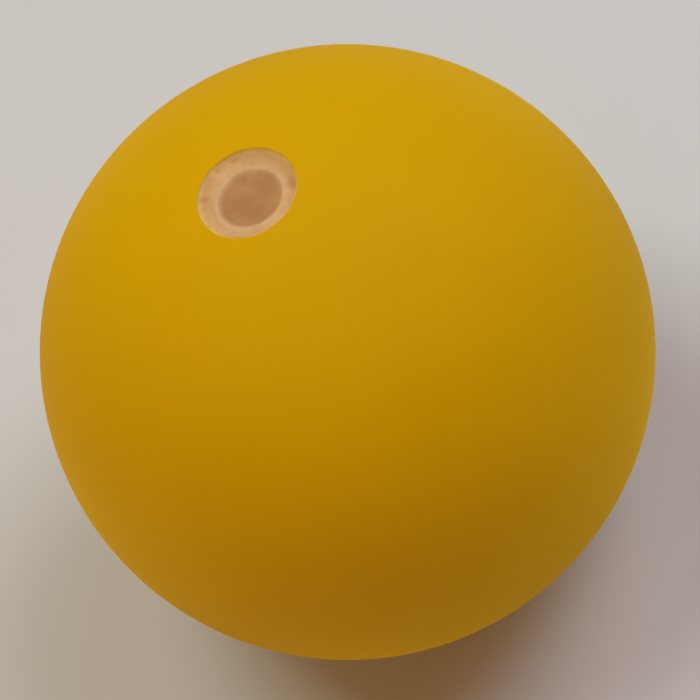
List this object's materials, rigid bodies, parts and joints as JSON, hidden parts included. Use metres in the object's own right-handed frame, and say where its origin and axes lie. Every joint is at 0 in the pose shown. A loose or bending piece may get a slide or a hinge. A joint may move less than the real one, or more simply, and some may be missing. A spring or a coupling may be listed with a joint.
{
  "type": "juggling ball",
  "caption": "Soft hollow ball closed by a recessed push-in plug and part filled with loose millet, for juggling and hand exercise.",
  "frame": {"origin": "the ball's centre, which is also the centre of its bounding box to within a quarter of a millimetre", "axes": "+Z from the centre out through the middle of the plug, up; X and Y are alike, because everything but the loose grains is turned about Z"},
  "size_m": [0.067, 0.067, 0.0666],
  "materials": {
    "soft_shell": "matte",
    "natural_plug": "satin",
    "millet": "satin"
  },
  "bodies": {
    "shell": {"shell": "soft_shell"},
    "plug": {"filler_plug": "natural_plug"},
    "millet": {"millet_bed": "millet", "millet_grains": "millet"}
  },
  "joints": [
    {"name": "plug_pull", "type": "slide", "parent": "shell", "child": "plug", "axis": [0, 0, 1], "range_m": [0, 0.016]},
    {"name": "fill_slump", "type": "hinge", "parent": "shell", "child": "millet", "pos_m": [0, 0, 0], "axis": [0, 1, 0], "range_deg": [-28, 28]}
  ]
}
